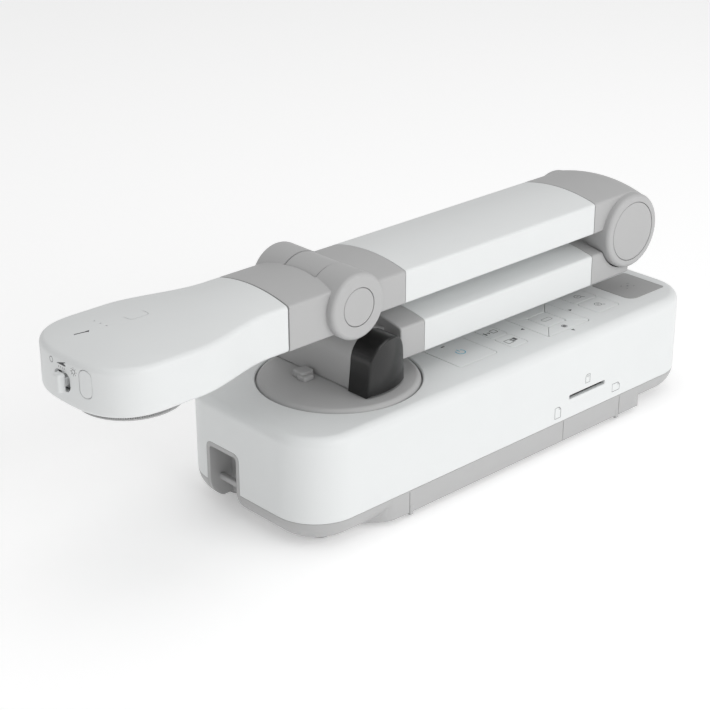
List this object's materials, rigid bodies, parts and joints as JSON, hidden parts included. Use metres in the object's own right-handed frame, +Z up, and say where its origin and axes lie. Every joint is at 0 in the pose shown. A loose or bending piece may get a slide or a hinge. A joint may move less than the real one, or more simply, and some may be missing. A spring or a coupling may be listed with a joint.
{
  "type": "document camera",
  "caption": "Folding desk document camera: flat base with key panel and turntable, two folded hinged arms and a tilting, rolling paddle-shaped camera head with a lens below.",
  "frame": {"origin": "centre of the base's underside; the feet reach 2.5 mm below it", "axes": "+X along the base towards the elbow of the folded arms (away from the cable notch and the head), +Y towards the rear with the connectors, so -Y is the long front face with the card slot, +Z up"},
  "size_m": [0.3563, 0.0944, 0.1169],
  "materials": {
    "white_plastic": "satin",
    "light_grey_plastic": "satin",
    "key_grey_plastic": "satin",
    "black_plastic": "satin",
    "foot_rubber": "matte",
    "steel": "satin",
    "aluminium": "satin",
    "circuit_board": "satin",
    "lens_glass": "gloss",
    "light_window": "gloss"
  },
  "bodies": {
    "base": {"base_casing": "white_plastic", "base_tray": "light_grey_plastic", "cable_notch": "light_grey_plastic", "port_panel": "light_grey_plastic", "card_socket": "black_plastic", "power_inlet": "black_plastic", "video_port": "steel", "usb_port": "steel", "ballast_plate": "steel", "main_board": "circuit_board", "turntable_bearing": "aluminium", "foot_front_left": "foot_rubber", "foot_rear_left": "foot_rubber", "foot_front_right": "foot_rubber", "foot_rear_right": "foot_rubber"},
    "turntable": {"turntable": "light_grey_plastic", "turntable_retainer": "steel", "shoulder_housing": "light_grey_plastic", "shoulder_front_cap": "black_plastic", "shoulder_rear_cap": "black_plastic", "shoulder_pin": "steel", "shoulder_spring": "steel"},
    "turn_lock": {"turn_lock_button": "light_grey_plastic"},
    "lower_arm": {"lower_arm_root": "light_grey_plastic", "lower_arm_upper_cover": "white_plastic", "lower_arm_lower_cover": "white_plastic", "lower_arm_beam": "aluminium", "lower_arm_elbow_end": "light_grey_plastic"},
    "upper_arm": {"upper_arm_elbow_end": "light_grey_plastic", "upper_arm_upper_cover": "white_plastic", "upper_arm_lower_cover": "white_plastic", "upper_arm_beam": "aluminium", "upper_arm_head_end": "light_grey_plastic", "elbow_pin": "steel", "elbow_front_cap": "light_grey_plastic", "elbow_rear_cap": "light_grey_plastic"},
    "neck": {"neck": "light_grey_plastic", "tilt_pin": "steel", "tilt_front_cap": "light_grey_plastic", "tilt_rear_cap": "light_grey_plastic"},
    "head": {"head_shell": "white_plastic", "head_floor": "white_plastic", "roll_shaft": "steel", "lens_barrel": "black_plastic", "lens_glass": "lens_glass", "sensor_board": "circuit_board", "light_window": "light_window"},
    "lens_ring": {"lens_ring": "light_grey_plastic"},
    "light_slider": {"light_slider": "white_plastic"},
    "power_button": {"power_button": "white_plastic"},
    "source_button": {"source_button": "white_plastic"},
    "split_screen_button": {"split_screen_button": "white_plastic"},
    "zoom_out_button": {"zoom_out_button": "white_plastic"},
    "zoom_in_button": {"zoom_in_button": "white_plastic"},
    "focus_button": {"focus_button": "key_grey_plastic"},
    "pad_front_key": {"pad_front_key": "white_plastic"},
    "pad_right_key": {"pad_right_key": "white_plastic"},
    "pad_rear_key": {"pad_rear_key": "white_plastic"},
    "pad_left_key": {"pad_left_key": "white_plastic"},
    "enter_button": {"enter_button": "white_plastic"}
  },
  "joints": [
    {"name": "turntable_turn", "type": "hinge", "parent": "base", "child": "turntable", "pos_m": [-0.0732, 0, 0.0537], "axis": [0, 0, 1], "range_deg": [-90, 90]},
    {"name": "turn_lock_press", "type": "slide", "parent": "turntable", "child": "turn_lock", "axis": [0, 0, -1], "range_m": [0, 0.0015], "stiffness_N_per_m": 400, "springref_m": -0.0005},
    {"name": "shoulder_raise", "type": "hinge", "parent": "turntable", "child": "lower_arm", "pos_m": [-0.0689, 0, 0.0682], "axis": [0, -1, 0], "range_deg": [0, 90]},
    {"name": "elbow_unfold", "type": "hinge", "parent": "lower_arm", "child": "upper_arm", "pos_m": [0.1018, 0, 0.0865], "axis": [0, 1, 0], "range_deg": [0, 90]},
    {"name": "head_tilt", "type": "hinge", "parent": "upper_arm", "child": "neck", "pos_m": [-0.0858, 0, 0.0989], "axis": [0, 1, 0], "range_deg": [-10, 85]},
    {"name": "head_roll", "type": "hinge", "parent": "neck", "child": "head", "pos_m": [-0.1226, 0, 0.098], "axis": [-1, 0, 0], "range_deg": [-90, 90]},
    {"name": "lens_ring_turn", "type": "hinge", "parent": "head", "child": "lens_ring", "pos_m": [-0.189, 0, 0.0837], "axis": [0, 0, -1], "range_deg": [-45, 45]},
    {"name": "light_slider_move", "type": "slide", "parent": "head", "child": "light_slider", "axis": [0, -1, 0], "range_m": [-0.0037, 0.0026]},
    {"name": "power_press", "type": "slide", "parent": "base", "child": "power_button", "axis": [0, 0, -1], "range_m": [0, 0.0007], "stiffness_N_per_m": 600, "springref_m": -0.0005},
    {"name": "source_press", "type": "slide", "parent": "base", "child": "source_button", "axis": [0, 0, -1], "range_m": [0, 0.0007], "stiffness_N_per_m": 600, "springref_m": -0.0005},
    {"name": "split_screen_press", "type": "slide", "parent": "base", "child": "split_screen_button", "axis": [0, 0, -1], "range_m": [0, 0.0007], "stiffness_N_per_m": 600, "springref_m": -0.0005},
    {"name": "zoom_out_press", "type": "slide", "parent": "base", "child": "zoom_out_button", "axis": [0, 0, -1], "range_m": [0, 0.0007], "stiffness_N_per_m": 600, "springref_m": -0.0005},
    {"name": "zoom_in_press", "type": "slide", "parent": "base", "child": "zoom_in_button", "axis": [0, 0, -1], "range_m": [0, 0.0007], "stiffness_N_per_m": 600, "springref_m": -0.0005},
    {"name": "focus_press", "type": "slide", "parent": "base", "child": "focus_button", "axis": [0, 0, -1], "range_m": [0, 0.0007], "stiffness_N_per_m": 600, "springref_m": -0.0005},
    {"name": "pad_front_press", "type": "slide", "parent": "base", "child": "pad_front_key", "axis": [0, 0, -1], "range_m": [0, 0.0007], "stiffness_N_per_m": 600, "springref_m": -0.0005},
    {"name": "pad_right_press", "type": "slide", "parent": "base", "child": "pad_right_key", "axis": [0, 0, -1], "range_m": [0, 0.0007], "stiffness_N_per_m": 600, "springref_m": -0.0005},
    {"name": "pad_rear_press", "type": "slide", "parent": "base", "child": "pad_rear_key", "axis": [0, 0, -1], "range_m": [0, 0.0007], "stiffness_N_per_m": 600, "springref_m": -0.0005},
    {"name": "pad_left_press", "type": "slide", "parent": "base", "child": "pad_left_key", "axis": [0, 0, -1], "range_m": [0, 0.0007], "stiffness_N_per_m": 600, "springref_m": -0.0005},
    {"name": "enter_press", "type": "slide", "parent": "base", "child": "enter_button", "axis": [0, 0, -1], "range_m": [0, 0.0007], "stiffness_N_per_m": 600, "springref_m": -0.0005}
  ],
  "couplings": [
    {"joint": "shoulder_raise", "follows": "elbow_unfold", "ratio": 1}
  ]
}
